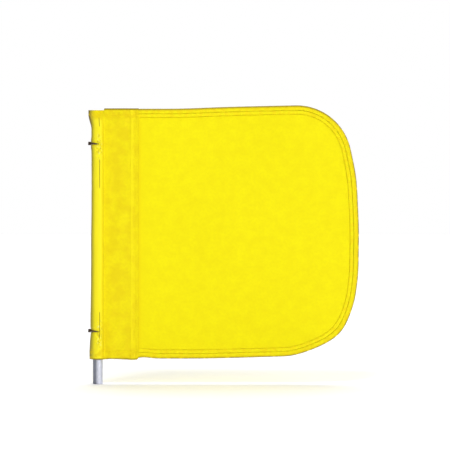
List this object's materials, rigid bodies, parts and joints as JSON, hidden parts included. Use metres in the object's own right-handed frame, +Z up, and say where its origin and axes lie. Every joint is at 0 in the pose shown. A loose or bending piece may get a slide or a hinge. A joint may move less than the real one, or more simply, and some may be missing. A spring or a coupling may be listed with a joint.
{
  "type": "safety flag on pole",
  "caption": "Flat bound fabric flag with rounded fly corners on a sewn sleeve that turns on a short metal tube and is held there by cable ties.",
  "frame": {"origin": "on the pole's axis, at the pole's lower end", "axes": "+Z up along the pole, +X from the pole to the flag's fly edge, -Y the flag's front face"},
  "size_m": [0.306, 0.017, 0.314],
  "materials": {
    "tube": "drawn, satin",
    "plug": "moulded, matte",
    "strip_cloth": "coated weave, satin",
    "flag_cloth": "coated weave, satin",
    "binding": "coated tape, satin",
    "thread": "twisted polyester thread",
    "tie": "moulded nylon, satin"
  },
  "bodies": {
    "pole": {"pole_tube": "tube", "pole_plug": "plug"},
    "sleeve": {"sleeve_pocket": "strip_cloth", "sleeve_front_leg": "strip_cloth", "sleeve_back_leg": "strip_cloth", "flag_root": "flag_cloth", "upper_tie": "tie", "lower_tie": "tie", "pocket_seam": "thread", "pocket_end_seam": "thread", "strip_seam_inner": "thread", "strip_seam_outer": "thread", "sleeve_top_seam": "thread", "sleeve_bottom_seam": "thread"},
    "flag": {"flag_cloth": "flag_cloth", "edge_binding": "binding", "binding_seam_outer": "thread", "binding_seam_inner": "thread"}
  },
  "joints": [
    {"name": "flag_swivel", "type": "hinge", "parent": "pole", "child": "sleeve", "pos_m": [0, 0, 0.15], "axis": [0, 0, 1], "continuous": true},
    {"name": "cloth_fold", "type": "hinge", "parent": "sleeve", "child": "flag", "pos_m": [0.05, 0, 0.17], "axis": [0, 0, 1], "range_deg": [-150, 150]}
  ]
}
